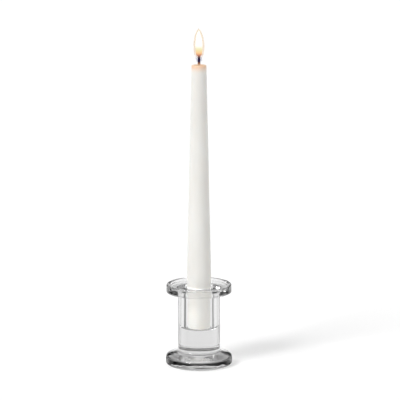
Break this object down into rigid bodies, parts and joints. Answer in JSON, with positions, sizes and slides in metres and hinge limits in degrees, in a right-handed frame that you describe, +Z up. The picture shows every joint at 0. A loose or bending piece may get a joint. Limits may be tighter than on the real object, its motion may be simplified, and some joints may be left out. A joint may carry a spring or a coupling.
{
  "type": "candlestick",
  "caption": "Pressed clear-glass candlestick with a flanged foot and drip flange, holding a lit ivory taper candle that lifts out of its socket.",
  "frame": {"origin": "centre of the foot on the surface that it stands on", "axes": "+Z up along the axis that the holder, candle, wick and flame are all turned about"},
  "size_m": [0.0606, 0.0606, 0.307],
  "materials": {
    "clear_glass": "polished",
    "ivory_wax": "satin",
    "braided_cotton": "matte",
    "flame": "matte"
  },
  "bodies": {
    "holder": {"glass_holder": "clear_glass"},
    "candle": {"taper_wax": "ivory_wax", "wick": "braided_cotton", "flame": "flame"}
  },
  "joints": [
    {"name": "candle_lift", "type": "slide", "parent": "holder", "child": "candle", "axis": [0, 0, 1], "range_m": [0, 0.06]}
  ]
}
